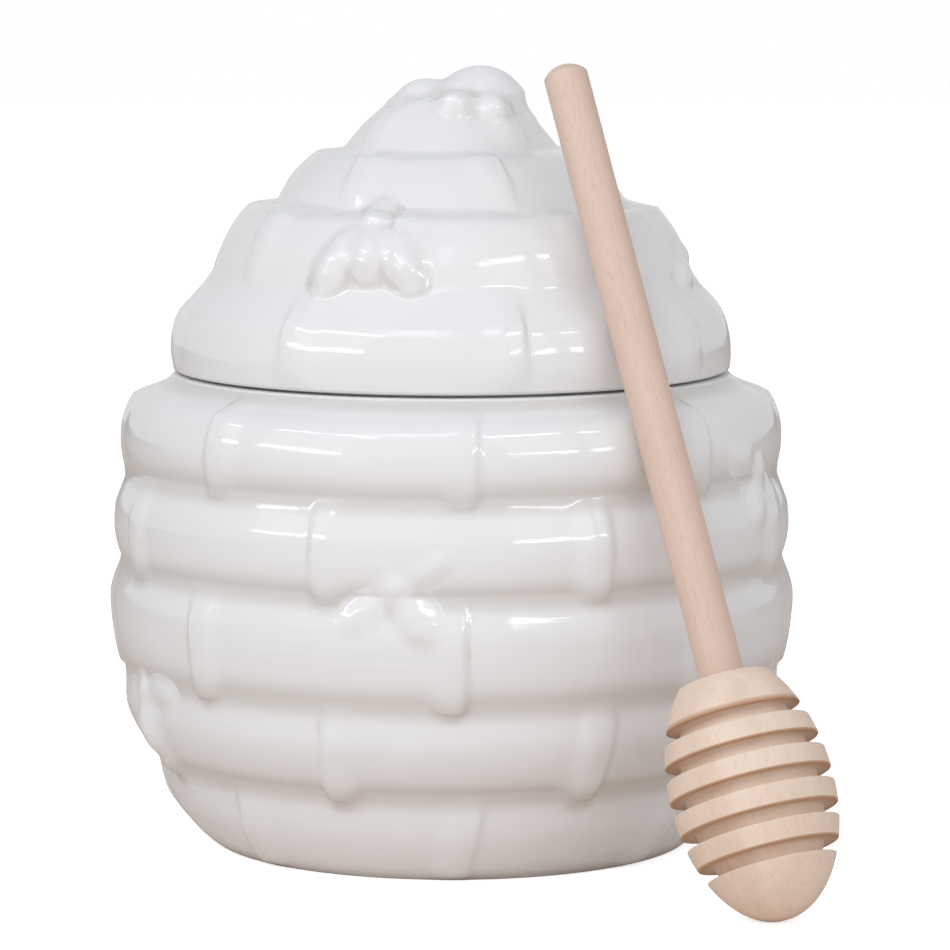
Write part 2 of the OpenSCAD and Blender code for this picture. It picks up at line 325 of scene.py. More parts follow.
    # How deep in a seam a point lies, more on the coil's underside: painted shade in the glaze
    # colour, with a little gathered glaze. It also weights the softening.
    empty = (full * -1.0 + 1.0).math("MAXIMUM", 0.0)
    pool_and_shade = (empty ** 0.7 * 0.9).towards(empty ** 2.0, along.math("GREATER_THAN", peak))
    wall = keep(keep(wall, "pool_and_shade", pool_and_shade * setting("Pooling and shade")), "soften", pool_and_shade * within)
    wall = add(tree, "GeometryNodeMergeByDistance", Geometry=wall.outputs[0], Distance=1e-6)
    weight = add(tree, "GeometryNodeInputNamedAttribute", {"data_type": "FLOAT"}, Name="soften")

    def average(times, **weights):
        return add(tree, "GeometryNodeBlurAttribute", {"data_type": "FLOAT_VECTOR"},
                   Value=one("GeometryNodeInputPosition"), Iterations=times, **weights)

    softened = average(setting("Glaze softening"), Weight=weight.outputs["Attribute"])
    wall = add(tree, "GeometryNodeSetPosition", Geometry=wall.outputs[0],
               Position=softened.outputs[0])
    # "hollow": how far a point lies under its neighbours' average. The glaze paints shade into
    # these corners.
    away = add(tree, "ShaderNodeVectorMath", {"operation": "SUBTRACT"})
    connect(tree, average(HOLLOW_SPREAD).outputs[0], away.inputs[0])
    connect(tree, one("GeometryNodeInputPosition"), away.inputs[1])
    hollow = add(tree, "ShaderNodeVectorMath", {"operation": "DOT_PRODUCT"})
    connect(tree, away.outputs[0], hollow.inputs[0])
    connect(tree, one("GeometryNodeInputNormal"), hollow.inputs[1])
    wall = keep(wall, "hollow", hollow.outputs["Value"])
    wall = add(tree, "GeometryNodeSetShadeSmooth", Geometry=wall.outputs[0])
    wall = add(tree, "GeometryNodeRealizeInstances", Geometry=wall.outputs[0])
    wall = add(tree, "GeometryNodeSetMaterial", Geometry=wall.outputs[0],
               Material=setting("Material"))
    tree.links.new(wall.outputs[0], out.inputs[0])
    return tree


# %% [markdown]
# ## Outlines that are turned
#
# The inside of the pot, the rim, the foot and both wooden pieces are plain turned shapes: an
# outline spun round an axis. The lathe below keeps the same columns as the coiled wall, so the
# inside and the outside meet point to point. Sharp corners of an outline are rounded first,
# because a real edge, glazed or sanded, always catches a little light.

# %% Round an outline's corners and spin it
def rounded(points, radius, steps=5):
    """The outline with each inner corner replaced by an arc, smaller where sides are short."""
    points = [np.array(p, float) for p in points]
    out = [points[0]]
    for before, corner, after in zip(points, points[1:], points[2:]):
        to_before, to_after = before - corner, after - corner
        reach_before, reach_after = np.linalg.norm(to_before), np.linalg.norm(to_after)
        cut = min(radius, 0.45 * reach_before, 0.45 * reach_after)
        start = corner + to_before / reach_before * cut
        end = corner + to_after / reach_after * cut
        for share in np.linspace(0, 1, steps):
            out.append((1 - share) ** 2 * start + 2 * share * (1 - share) * corner
                       + share ** 2 * end)
    return np.array(out + [points[-1]])


def spin(outline, columns):
    """Points and faces of an outline [radius, height] spun round Z. Faces look to its right."""
    angles = np.arange(columns) * math.tau / columns
    points, faces, rings = [], [], []
    for radius, height in outline:
        first = len(points)
        if radius < 1e-9:
            points.append((0.0, 0.0, height))
            rings.append([first] * columns)
        else:
            points += [(radius * c, radius * s, height)
                       for c, s in zip(np.cos(angles), np.sin(angles))]
            rings.append(list(range(first, first + columns)))
    for low, high in zip(rings, rings[1:]):
        for k in range(columns):
            n = (k + 1) % columns
            corners = [low[k], low[n], high[n], high[k]]
            faces.append([c for i, c in enumerate(corners) if c not in corners[:i]])
    return points, faces


def mesh_of(name, points, faces):
    mesh = bpy.data.meshes.new(name)
    mesh.from_pydata([tuple(p) for p in points], [], faces)
    mesh.polygons.foreach_set("use_smooth", [True] * len(mesh.polygons))
    mesh.update()
    return mesh


def sew(name, meshes, closed_at=0.01 * MM):
    """Joins meshes into one and merges the points that they share."""
    joined = bmesh.new()
    for mesh in meshes:
        joined.from_mesh(mesh)
    bmesh.ops.remove_doubles(joined, verts=joined.verts, dist=closed_at)
    open_edges = sum(len(e.link_faces) != 2 for e in joined.edges)
    mesh = bpy.data.meshes.new(name)
    joined.to_mesh(mesh)
    joined.free()
    for material in meshes[0].materials:
        mesh.materials.append(material)
    triangles = sum(len(p.vertices) - 2 for p in mesh.polygons)
    print(name, "triangles", triangles, "open edges", open_edges)
    return mesh


# %% [markdown]
# ## Sizes of the jar
#
# A coil is one row: its height, the radius of the seam that it starts from, how far it swells,
# where it is fullest, the turn of its first binding counted from the front, how many bindings
# it has and how slanted they lie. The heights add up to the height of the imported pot, and the
# script says so.

# %% Coils of the pot and of the lid
# height, lower radius, swell (mm), peak, first binding (degrees), count, slant (degrees)
POT_COILS = [
    (18.0, 44.6, 2.0, 0.54, 2.0, 8, 4.0),
    (17.1, 56.0, 2.2, 0.50, -19.5, 8, 1.5),
    (19.2, 61.8, 1.6, 0.58, 0.0, 8, 0.0),
    (17.0, 62.0, 1.8, 0.50, -20.5, 8, 0.0),
    (16.4, 60.5, 4.3, 0.60, 2.0, 8, 0.0),
]
RIM_R = 52.0
RIM_EDGE = 0.6
RIM_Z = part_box("pot")[1][2] / MM
LID_COILS = [
    (18.5, 52.0, 2.8, 0.50, 12.0, 8, 0.0),
    (12.9, 44.3, 2.9, 0.70, -10.0, 8, -3.0),
    (9.7, 32.3, 1.8, 0.70, 15.5, 7, -6.0),
    (8.5, 19.8, 0.4, 0.50, -50.0, 4, 0.0),
]
CROWN_R = 11.5
COLUMNS = 600
COIL_ROWS = 19
WALL_VALUES = {
    "Columns": COLUMNS, "Rows per coil": COIL_ROWS, "Belly": 2.6, "Shoulder": 0.85,
    "Binding width": 5.5 * MM, "Binding height": 0.77 * MM, "Crisp edge": 0.35 * MM,
    "Soft edge": 2.4 * MM, "Hook drop": 1.4 * MM, "Flute depth": 0.3 * MM,
    "Flute pitch": 2.4 * MM, "Unevenness": 0.45 * MM, "Glaze softening": 2,
    "Pooling and shade": 1.0,
}
# The lid's seams get less painted shade.
LID_VALUES = {**WALL_VALUES, "Glaze softening": 10, "Pooling and shade": 0.3}


def seam_mesh(name, coils, start_z, end_r):
    """One point a seam, at (radius, 0, height), with the shape of the coil above it."""
    heights = start_z + np.cumsum([0.0] + [c[0] for c in coils])
    radii = [c[1] for c in coils] + [end_r]
    mesh = bpy.data.meshes.new(name)
    mesh.from_pydata([(r * MM, 0, z * MM) for r, z in zip(radii, heights)], [], [])
    rows = coils + [coils[-1]]
    shapes = {
        "swell": [c[2] * MM for c in rows],
        "peak": [c[3] for c in rows],
        "turn": [math.radians(c[4] - 90) for c in rows],
        "count": [float(c[5]) for c in rows],
        "slant": [math.radians(c[6]) for c in rows],
    }
    for label, values in shapes.items():
        mesh.attributes.new(label, "FLOAT", "POINT").data.foreach_set("value", values)
    return mesh, heights[-1]


def coiled_wall(name, tree, values, coils, start_z, end_r, material):
    mesh, top = seam_mesh(name + "_seams", coils, start_z, end_r)
    holder = show(name + "_seams", mesh)
    wall = bake(holder, tree, {**values, "Material": material})
    bpy.data.objects.remove(holder)
    print(name, "ends at", round(top, 2), "mm;", len(wall.polygons), "faces")
    return wall


pot_top = sum(c[0] for c in POT_COILS) + RIM_EDGE
assert abs(pot_top - RIM_Z) < 0.2, f"coils add up to {pot_top}, and the pot is {RIM_Z} tall"

# %% [markdown]
# ## White gloss glaze
#
# The glaze is a thick clear-white glass over a pale body. It is almost white on the swell of a
# coil. In a seam, under a coil and in a corner it is painted a warm grey, which the
# "pool_and_shade" and "hollow" attributes drive: a little of that grey is glaze that gathers
# there, most of it is painted shade.
# The brush and the straw left fine lines along the coils, so a noise squeezed in height moves
# both the colour and the bump a little. The gloss itself comes from a low roughness.

# %% Glaze
GLAZE_WHITE = (0.80, 0.80, 0.81, 1)
# Warm grey of seams, coil undersides and corners: mostly painted shade, a little gathered glaze.
GLAZE_POOLED_AND_SHADED = (0.62, 0.59, 0.56, 1)
GLAZE_STREAK = (0.76, 0.76, 0.765, 1)


def shader(name):
    """A new material with its tree and its main shader."""
    material = bpy.data.materials.new(name)
    material.use_nodes = True
    return material, material.node_tree, material.node_tree.nodes["Principled BSDF"]


def glaze_material():
    material, tree, surface = shader("white_glaze")
    where = add(tree, "ShaderNodeTexCoord").outputs["Object"]
    squeezed = add(tree, "ShaderNodeMapping", Vector=where, Scale=(30, 30, 900))
    lines = add(tree, "ShaderNodeTexNoise", Vector=squeezed.outputs[0], Scale=1.0, Detail=3.0)
    cloud = add(tree, "ShaderNodeTexNoise", Vector=where, Scale=45.0, Detail=2.0)
    pool_and_shade = add(tree, "ShaderNodeAttribute", {"attribute_name": "pool_and_shade"}).outputs["Fac"]
    streaks = Field(tree, lines.outputs[0]).rises(0.5, 0.8) * 0.35
    streaked = add(tree, "ShaderNodeMix", {"data_type": "RGBA"})
    for place, value in ((0, streaks), (6, GLAZE_WHITE), (7, GLAZE_STREAK)):
        connect(tree, value, streaked.inputs[place])
    # Corners under the surrounding surface, such as strap edges and the borders of bees, get
    # painted shade.
    hollow = add(tree, "ShaderNodeAttribute", {"attribute_name": "hollow"}).outputs["Fac"]
    corners = Field(tree, hollow).rises(0.02 * MM, 0.18 * MM) * 0.7
    # Painted shade from the seams and the corners, with a little gathered glaze, mixed into the
    # white.
    depth = (Field(tree, pool_and_shade).rises(0.35, 1.0) * 0.75).math("MAXIMUM", corners)
    depth = depth + Field(tree, cloud.outputs[0]) * 0.06
    pooled_and_shaded = add(tree, "ShaderNodeMix", {"data_type": "RGBA"})
    for place, value in ((0, depth), (6, streaked.outputs[2]), (7, GLAZE_POOLED_AND_SHADED)):
        connect(tree, value, pooled_and_shaded.inputs[place])
    connect(tree, pooled_and_shaded.outputs[2], surface.inputs["Base Color"])
    bump = add(tree, "ShaderNodeBump", Strength=0.08, Distance=0.3 * MM,
               Height=lines.outputs[0])
    connect(tree, bump.outputs[0], surface.inputs["Normal"])
    surface.inputs["Roughness"].default_value = 0.09
    surface.inputs["IOR"].default_value = 1.5
    surface.inputs["Specular IOR Level"].default_value = 0.6
    return material


glaze = glaze_material()

# %% [markdown]
# ## The pot
#
# The outside is the coiled wall. Its rim, its neck, its inside and its foot are one outline
# that starts at the wall's top edge and comes back to its bottom edge, so that the two close
# into one watertight piece of clay.

# %% Pot
WALL = 4.5
FLOOR = 6.5
FOOT_W = 4.0
FOOT_RECESS = 1.5
RIM_W = 6.0
NECK_H = 7.0
SEAM_HALF = 0.28
SEAM_DEPTH = 4.0


def soft_line(points, passes=2):
    """Rounds a whole outline by cutting its corners again and again, with its ends kept."""
    line = np.array(points, float)
    for _ in range(passes):
        cut = np.empty((2 * (len(line) - 1), 2))
        cut[0::2] = 0.75 * line[:-1] + 0.25 * line[1:]
        cut[1::2] = 0.25 * line[:-1] + 0.75 * line[1:]
        line = np.vstack([line[:1], cut, line[-1:]])
    return line


def inside_points(coils, start_z, thick, share=0.4):
    """A wall's thickness in from the seams, with a softer bulge between them."""
    points = []
    z = start_z
    for here, above in zip(coils, coils[1:]):
        points.append((here[1] - thick, z))
        points.append(((here[1] + above[1]) / 2 - thick + share * here[2], z + here[0] / 2))
        z += here[0]
    return points + [(coils[-1][1] - thick, z)]


def make_pot(tree):
    wall = coiled_wall("pot", tree, WALL_VALUES, POT_COILS, 0.0, RIM_R, glaze)
    mouth_r = RIM_R - RIM_W
    inner = inside_points(POT_COILS, 0.0, WALL)[2:]
    inner = [(POT_COILS[0][1] - 2, FLOOR), (POT_COILS[0][1] + 4, FLOOR + 5)] + inner
    hollow = soft_line([(mouth_r, RIM_Z - NECK_H)] + inner[::-1] + [(20, FLOOR), (0, FLOOR)], 1)
    rim = rounded([(RIM_R, RIM_Z - RIM_EDGE), (RIM_R - RIM_EDGE, RIM_Z - SEAM_HALF),
                   (RIM_R - SEAM_DEPTH, RIM_Z - SEAM_HALF), (RIM_R - SEAM_DEPTH, RIM_Z),
                   (mouth_r, RIM_Z), (mouth_r, RIM_Z - NECK_H)], 0.9, 4)
    foot_r = POT_COILS[0][1]
    foot = rounded([(0, FOOT_RECESS), (foot_r - FOOT_W, FOOT_RECESS), (foot_r - FOOT_W, 0),
                    (foot_r, 0)], 0.5)
    parts = [wall]
    for line in (np.vstack([rim, hollow[1:]]), foot):
        points, faces = spin(line * MM, COLUMNS)
        parts.append(mesh_of("pot_part", points, faces))
    return show("pot_stoneware", sew("pot_stoneware", parts))


wall_tree = coiled_wall_tree()
pot = make_pot(wall_tree)

# %% [markdown]
# ## The lid
#
# The lid is made the same way. Its wall starts on a thin bevel just above the seam, and under
# it a ring drops into the mouth. The side of that ring slopes, so that a hand can draw the lid
# off at a slant.

# %% Lid
LID_WALL = 4.2
FLANGE_H = 5.0
FLANGE_T = 3.2
FLANGE_DRAFT = math.radians(23)
LID_CLEARANCE = 0.8
CROWN_RISE = 3.0


def make_lid(tree):
    start_z = RIM_Z + RIM_EDGE
    wall = coiled_wall("lid", tree, LID_VALUES, LID_COILS, start_z, CROWN_R, glaze)
    crown_z = start_z + sum(c[0] for c in LID_COILS)
    top = rounded([(CROWN_R, crown_z), (CROWN_R * 0.5, crown_z + CROWN_RISE * 0.55),
                   (0, crown_z + CROWN_RISE)], 4.0)
    ring_top = RIM_R - RIM_W - LID_CLEARANCE
    ring_foot = ring_top - FLANGE_H * math.tan(FLANGE_DRAFT)
    ring_in = ring_foot - FLANGE_T
    under = rounded([(ring_in, RIM_Z + 2), (ring_in, RIM_Z - FLANGE_H),
                     (ring_foot, RIM_Z - FLANGE_H), (ring_top, RIM_Z),
                     (RIM_R - SEAM_DEPTH, RIM_Z), (RIM_R - SEAM_DEPTH, RIM_Z + SEAM_HALF),
                     (RIM_R - RIM_EDGE, RIM_Z + SEAM_HALF), (RIM_R, RIM_Z + RIM_EDGE)], 0.5, 4)
    dome = soft_line([(0, crown_z - LID_WALL)]
                     + inside_points(LID_COILS, start_z - LID_WALL / 2, LID_WALL)[:1:-1]
                     + [(ring_in, RIM_Z + LID_WALL), (ring_in, RIM_Z + 2)], 1)
    parts = [wall]
    for line in (top, np.vstack([dome, under[1:]])):
        points, faces = spin(line * MM, COLUMNS)
        parts.append(mesh_of("lid_part", points, faces))
    return show("lid_stoneware", sew("lid_stoneware", parts)), crown_z


lid, crown_z = make_lid(wall_tree)

# %% [markdown]
# ## The bees
#
# Each bee looks modelled in clay and pressed onto the wall, with no gap under it: the wall
# swells up into it, and the thick glaze fills every corner. So a bee is made as a relief. Over
# a fine grid of rays, one ray finds how far out the wall lies and how far out the bee's lobes
# reach. What stands above the wall is blurred, which rounds the lobes and lets them fade into
# the wall. The border is tucked just under the glaze, and a back closes the shell in the clay.

# %% Relief of a few lobes
GRID_STEP = 0.3 * MM
FAR = 20 * MM
TUCK = 0.03 * MM
BACK = 1.2 * MM
GRAIN_SIZE = 2.4 * MM
GRAIN = 0.13 * MM


def lobe(place, length, radius):
    """Matrix that carries a ball of radius 1 to an egg that runs from its place along +X."""
    half = length / 2 * MM
    return (place @ Matrix.Translation((half, 0, 0))
            @ Matrix.Diagonal((half, radius * MM, radius * MM, 1)))


def reach_of(egg, starts, rays):
    """How far along each ray its last touch of an egg lies, and -FAR where it misses."""
    back = np.array(egg.inverted())
    from_here = starts @ back[:3, :3].T + back[:3, 3]
    along = rays @ back[:3, :3].T
    a, b = (along ** 2).sum(-1), (along * from_here).sum(-1)
    c = (from_here ** 2).sum(-1) - 1
    inside = b ** 2 - a * c
    return np.where(inside > 0, (np.sqrt(np.maximum(inside, 0)) - b) / a, -FAR)


def blurred(values, passes):
    """The values of a grid, each mixed with its neighbours again and again."""
    for _ in range(passes):
        for axis in (0, 1):
            sides = np.roll(values, 1, axis) + np.roll(values, -1, axis)
            values = values / 2 + sides / 4
    return values


def relief(name, wall, starts, rays, eggs, passes, height=1.0):
    """A closed shell of eggs on a wall, pressed to a share of their height, over outward rays."""
    base = np.full(starts.shape[:2], -FAR)
    for spot in np.ndindex(base.shape):
        out = Vector(rays[spot])
        hit = wall.ray_cast(Vector(starts[spot]) + out * 2 * FAR, -out, 3 * FAR)
        if hit[0] is not None:
            base[spot] = 2 * FAR - hit[3]
    reach = np.max([reach_of(egg, starts, rays) for egg in eggs], axis=0)
    rise = height * blurred(np.maximum(reach - base, 0) * (base > -FAR), passes)
    tops = starts + (base + rise)[..., None] * rays
    for spot in zip(*np.nonzero(rise > TUCK)):
        lump = noise.noise(Vector(tops[spot]) / GRAIN_SIZE)
        rise[spot] += GRAIN * lump * min(1.0, rise[spot] / MM)
    top = base + rise - TUCK
    # "hollow" lets the glaze paint shade into the corners round each lobe.
    hollow = blurred(top, HOLLOW_SPREAD * 3) - top
    kept = (rise > 0.2 * TUCK) & (base > -FAR)
    cells = kept[:-1, :-1] & kept[1:, :-1] & kept[:-1, 1:] & kept[1:, 1:]
    used = np.zeros(base.shape, bool)
    for di, dj in ((0, 0), (1, 0), (0, 1), (1, 1)):
        used[di:di + cells.shape[0], dj:dj + cells.shape[1]] |= cells
    number = -np.ones(base.shape, int)
    number[used] = np.arange(used.sum())
    total = int(used.sum())
    face_points = starts + top[..., None] * rays
    back_points = starts + (base - BACK)[..., None] * rays
    faces = []
    for i, j in zip(*np.nonzero(cells)):
        ring = [number[i, j], number[i + 1, j], number[i + 1, j + 1], number[i, j + 1]]
        faces.append(ring)
        faces.append([n + total for n in reversed(ring)])
        for (di, dj), (a, b) in zip(((0, -1), (1, 0), (0, 1), (-1, 0)),
                                    zip(ring, ring[1:] + ring[:1])):
            ni, nj = i + di, j + dj
            inside = 0 <= ni < cells.shape[0] and 0 <= nj < cells.shape[1]
            if not (inside and cells[ni, nj]):
                faces.append([b, a, a + total, b + total])
    points = np.vstack([face_points[used], back_points[used]])
    mesh = mesh_of(name, points, [[int(n) for n in f] for f in faces])
    values = np.concatenate([hollow[used], np.zeros(total)])
    mesh.attributes.new("hollow", "FLOAT", "POINT").data.foreach_set("value", values)
    return mesh


def surface_of(obj):
    mesh = obj.data
    return BVHTree.FromPolygons([v.co for v in mesh.vertices],
                                [p.vertices for p in mesh.polygons])


# %% [markdown]
# ## Bees on the wall
#
# A bee has a long tail, a round thorax, a small head and two wings, all of them eggs that lie
# half sunk in the wall. Five bees sit on the pot, between the straps, and three on the lid.

# %% Bees of the pot and of the lid
BEE_LEN = 17.5
TAIL_R = 0.2 * BEE_LEN
THORAX_R = 0.85 * TAIL_R
HEAD_R_BEE = 0.8 * TAIL_R
SUNK = 0.15 * TAIL_R
HEAD_SUNK = 0.72 * TAIL_R
WING_SHARE = 0.255
WING_LEN = 11.0
LONG_WING = 15.5
BEE_BLUR = 20
SEAM_Z = np.cumsum([0.0] + [c[0] for c in POT_COILS])
LID_SEAM_Z = RIM_Z + RIM_EDGE + np.cumsum([0.0] + [c[0] for c in LID_COILS])
# turn, radius, height, slope of the wall, heading, sweep and length of the wings
POT_BEES = [
    (-8, 62.7, SEAM_Z[3] - 0.5, 0, 126, 95, WING_LEN),
    (66, 61.4, SEAM_Z[4] - 0.9, 3, 60, 100, WING_LEN),
    (-66, 61.1, SEAM_Z[2] - 5.1, -4, 100, 100, WING_LEN),
    (150, 62.9, SEAM_Z[3] + 2.8, 0, 50, 95, WING_LEN),
    (-145, 62.4, SEAM_Z[2] + 2.1, -3, 150, 100, WING_LEN),
]
LID_BEES = [
    (-21, 38.7, LID_SEAM_Z[2] - 3.2, 43, 95, 152, LONG_WING),
    (78, 42.9, LID_SEAM_Z[1] + 2.1, 25, 30, 100, WING_LEN),
    (178, 38.7, LID_SEAM_Z[2] - 3.2, 43, 100, 95, WING_LEN),
]


def turn_z(degrees):
    return Matrix.Rotation(math.radians(degrees), 4, "Z")


def moved(x, y, z):
    return Matrix.Translation(Vector((x, y, z)) * MM)


def bee_lobes(sweep, wing):
    """The lobes of a bee that lies on the XY plane with its head towards +X."""
    lobes = [lobe(moved(0, 0, -SUNK) @ turn_z(180), (BEE_LEN + TAIL_R) / 2, TAIL_R)]
    for middle, radius, sunk in ((THORAX_R / 2, THORAX_R, SUNK),
                                 (BEE_LEN / 3, HEAD_R_BEE, HEAD_SUNK)):
        lobes.append(lobe(moved(middle - radius, 0, -sunk), 2 * radius, radius))
    wing_r = WING_SHARE * wing
    for side in (-1, 1):
        root = moved(TAIL_R / 2, side * TAIL_R / 2, -wing_r / 2)
        lobes.append(lobe(root @ turn_z(side * sweep), wing, wing_r))
    return lobes


def place_on_wall(turn, radius, height, slope, heading):
    """Matrix of a bee: round the jar from the front, out by a radius, tipped with the wall."""
    return (turn_z(turn) @ moved(0, -radius, height)
            @ Matrix.Rotation(math.radians(90 - slope), 4, "X") @ turn_z(heading))


def bee(wall, height, place, sweep, wing):
    """A bee over a square grid of rays, all of which look the way its place looks."""
    eggs = [place @ egg for egg in bee_lobes(sweep, wing)]
    reach = (BEE_LEN / 2 + wing * 0.6) * MM
    side = np.arange(-reach, reach, GRID_STEP)
    x, y = np.meshgrid(side - BEE_LEN * 0.1 * MM, side, indexing="ij")
    spots = np.stack([x, y, 0 * x - FAR / 2], axis=-1)
    matrix = np.array(place)
    starts = spots @ matrix[:3, :3].T + matrix[:3, 3]
    rays = np.broadcast_to(matrix[:3, 2], starts.shape)
    return relief("bee", wall, starts, rays, eggs, BEE_BLUR, height)


def press_bees(name, wall_object, bees, height):
    wall = surface_of(wall_object)
    meshes = [bee(wall, height, place_on_wall(*row[:5]), *row[5:]) for row in bees]
    joined = show(name, sew(name, meshes, 1e-9))
    joined.data.materials.append(glaze)
    return joined


pot_bees = press_bees("pot_bees", pot, POT_BEES, 0.55)
lid_bees = press_bees("lid_bees", lid, LID_BEES, 0.8)

# %% [markdown]
# ## The bee on top
#
# The knob is a bee too, curled over the crown. Its lobes point every way, so one flat grid of
# rays can't see them all. Here the rays spread from a point inside the lid like the spines of
# an urchin. A flat grid wrapped round a ball from its far pole gives rays that are close
# together everywhere and have no pole on top.

# %% Knob
KNOB_R = 7.9
# Middle of a lobe seen from the crown, its turn and drop, its length and its radius
KNOB_LOBES = {
    "body": ((0.7, -0.25, -0.15), (0, 0), 2.18, 1.0),
    "head": ((0.11, -1.43, -0.14), (0, 0), 0.94, 0.47),
    "legs": ((0.96, -1.33, -0.22), (0, 0), 0.88, 0.44),
    "left wing": ((-0.7, -0.2, -0.12), (175, 25), 1.5, 0.66),
    "right wing": ((1.59, -0.38, -0.45), (-10, 50), 1.52, 0.38),
}
KNOB_MIDDLE = (3.0, -2.5, crown_z - 6.0)
KNOB_GRID = 0.028
KNOB_SPREAD = 2.9
KNOB_BLUR = 36


def knob_eggs():
    eggs = []
    for middle, (turn, drop), length, radius in KNOB_LOBES.values():
        place = (moved(0, 0, crown_z) @ moved(*(m * KNOB_R for m in middle)) @ turn_z(turn)
                 @ Matrix.Rotation(math.radians(drop), 4, "Y")
                 @ moved(-length / 2 * KNOB_R, 0, 0))
        eggs.append(lobe(place, length * KNOB_R, radius * KNOB_R))
    return eggs


def make_knob():
    side = np.arange(-KNOB_SPREAD, KNOB_SPREAD, KNOB_GRID)
    u, v = np.meshgrid(side, side, indexing="ij")
    far = u ** 2 + v ** 2
    rays = np.stack([4 * u, 4 * v, 4 - far], axis=-1) / (4 + far)[..., None]
    starts = np.broadcast_to(np.array(KNOB_MIDDLE) * MM, rays.shape)
    mesh = relief("knob_bee", surface_of(lid), starts, rays, knob_eggs(), KNOB_BLUR)
    mesh = sew("knob_bee", [mesh], 1e-9)
    mesh.materials.append(glaze)
    return show("knob_bee", mesh)


knob = make_knob()

# %% [markdown]
# ## The dipper's own axis
#
# The dipper leans, but a turned piece is easiest to make upright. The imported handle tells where
# its axis runs, so both wooden pieces are turned round Z and then laid along that axis.

# %% Where the dipper leans
SOCKET = 20 * MM


def dipper_frame():
    """Matrix that carries +Z to the dipper's axis, with its origin at the head's flat top."""
    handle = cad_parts["dipper_handle"].data
    points = np.array([v.co for v in handle.vertices])
    centre = (points.max(axis=0) + points.min(axis=0)) / 2
    axis = np.linalg.svd(points - points.mean(axis=0), full_matrices=False)[2][0]
    axis *= np.sign(axis[2])
    along = (points - centre) @ axis
    low = points[along < along.min() + 0.01 * MM].mean(axis=0)
    turned = Vector((0, 0, 1)).rotation_difference(Vector(axis)).to_matrix().to_4x4()
    length = along.max() - along.min()
    print("handle", round(length / MM, 1), "mm long, leaning",
          round(math.degrees(math.acos(axis[2])), 1), "degrees")
    return Matrix.Translation(Vector(low) + Vector(axis) * SOCKET) @ turned, length


lean, handle_length = dipper_frame()

# %% [markdown]
# ## Wood
#
# The dipper is pale unvarnished birch or beech. The dowel is pinkish, with short fine fibres
# along it, and the head is a little yellower. A mapping node turns the pattern into the
# dipper's own frame, so that the fibres run along its axis. The lathe tool scorched thin brown
# lines where it parted the rings, which the "burn" attribute marks.

# %% Wood
def wood_material(name, pale, dark, fleck, fibre, burnt=(0.42, 0.20, 0.08, 1)):
    material, tree, surface = shader(name)
    where = add(tree, "ShaderNodeTexCoord").outputs["Object"]
    back = lean.inverted()
    own = add(tree, "ShaderNodeMapping", Vector=where, Location=back.translation,
              Rotation=back.to_euler())
    long_grain = add(tree, "ShaderNodeMapping", Vector=own.outputs[0], Scale=(170, 170, 9))
    grain = add(tree, "ShaderNodeTexNoise", Vector=long_grain.outputs[0], Scale=1.0,
                Detail=4.0, Distortion=0.4)
    short = add(tree, "ShaderNodeMapping", Vector=own.outputs[0], Scale=(3000, 3000, 420))
    fibres = add(tree, "ShaderNodeTexNoise", Vector=short.outputs[0], Scale=1.0, Detail=2.0)
    cloud = add(tree, "ShaderNodeTexNoise", Vector=own.outputs[0], Scale=55.0, Detail=2.0)
    tone = Field(tree, grain.outputs[0]) * 0.7 + Field(tree, cloud.outputs[0]) * 0.3
    base = add(tree, "ShaderNodeMix", {"data_type": "RGBA"})
    for place, value in ((0, tone.rises(0.3, 0.7)), (6, pale), (7, dark)):
        connect(tree, value, base.inputs[place])
    flecks = Field(tree, fibres.outputs[0]).rises(0.54, 0.72) * fibre
    flecked = add(tree, "ShaderNodeMix", {"data_type": "RGBA"})
    for place, value in ((0, flecks), (6, base.outputs[2]), (7, fleck)):
        connect(tree, value, flecked.inputs[place])
    burn = add(tree, "ShaderNodeAttribute", {"attribute_name": "burn"}).outputs["Fac"]
    seared = add(tree, "ShaderNodeMix", {"data_type": "RGBA"})
    for place, value in ((0, burn), (6, flecked.outputs[2]), (7, burnt)):
        connect(tree, value, seared.inputs[place])
    connect(tree, seared.outputs[2], surface.inputs["Base Color"])
    bump = add(tree, "ShaderNodeBump", Strength=0.35, Distance=0.15 * MM,
               Height=fibres.outputs[0])
    connect(tree, bump.outputs[0], surface.inputs["Normal"])
    surface.inputs["Roughness"].default_value = 0.62
    surface.inputs["IOR"].default_value = 1.45
    return material


handle_wood = wood_material("dowel_wood", (0.72, 0.555, 0.465, 1), (0.65, 0.485, 0.40, 1),
                            (0.50, 0.34, 0.26, 1), 0.30)
head_wood = wood_material("turned_wood", (0.82, 0.67, 0.56, 1), (0.73, 0.57, 0.46, 1),
                          (0.55, 0.38, 0.28, 1), 0.25)

# %% [markdown]
# ## The dipper
#
# The head is an egg with a flat top, cut by five square grooves that hold the honey. Its
# corners are only just broken, as sandpaper leaves them. The handle is a dowel with a rounded
# end, glued into the head, so it is left plain.

# %% Dipper head and handle
HEAD_R = 14.44
HEAD_UPPER = 24.6
HEAD_LOWER = 23.0
HEAD_SHOULDER = 20.5
CAP_H = 7.1
GROOVES = 5
GROOVE_W = 2.3
GROOVE_D = 2.7
RING_W = 3.9
HANDLE_R = 4.0
HANDLE_ROUND = 2.0
WOOD_COLUMNS = 160
EDGE_BURN = 0.8
GROOVE_BURN = 0.06
BURN_REACH = 0.45


def head_radius(depth):
    """Radius of the head at a depth below its flat top."""
    half = HEAD_UPPER if depth < HEAD_SHOULDER else HEAD_LOWER
    return HEAD_R * math.sqrt(max(0.0, 1 - ((depth - HEAD_SHOULDER) / half) ** 2))


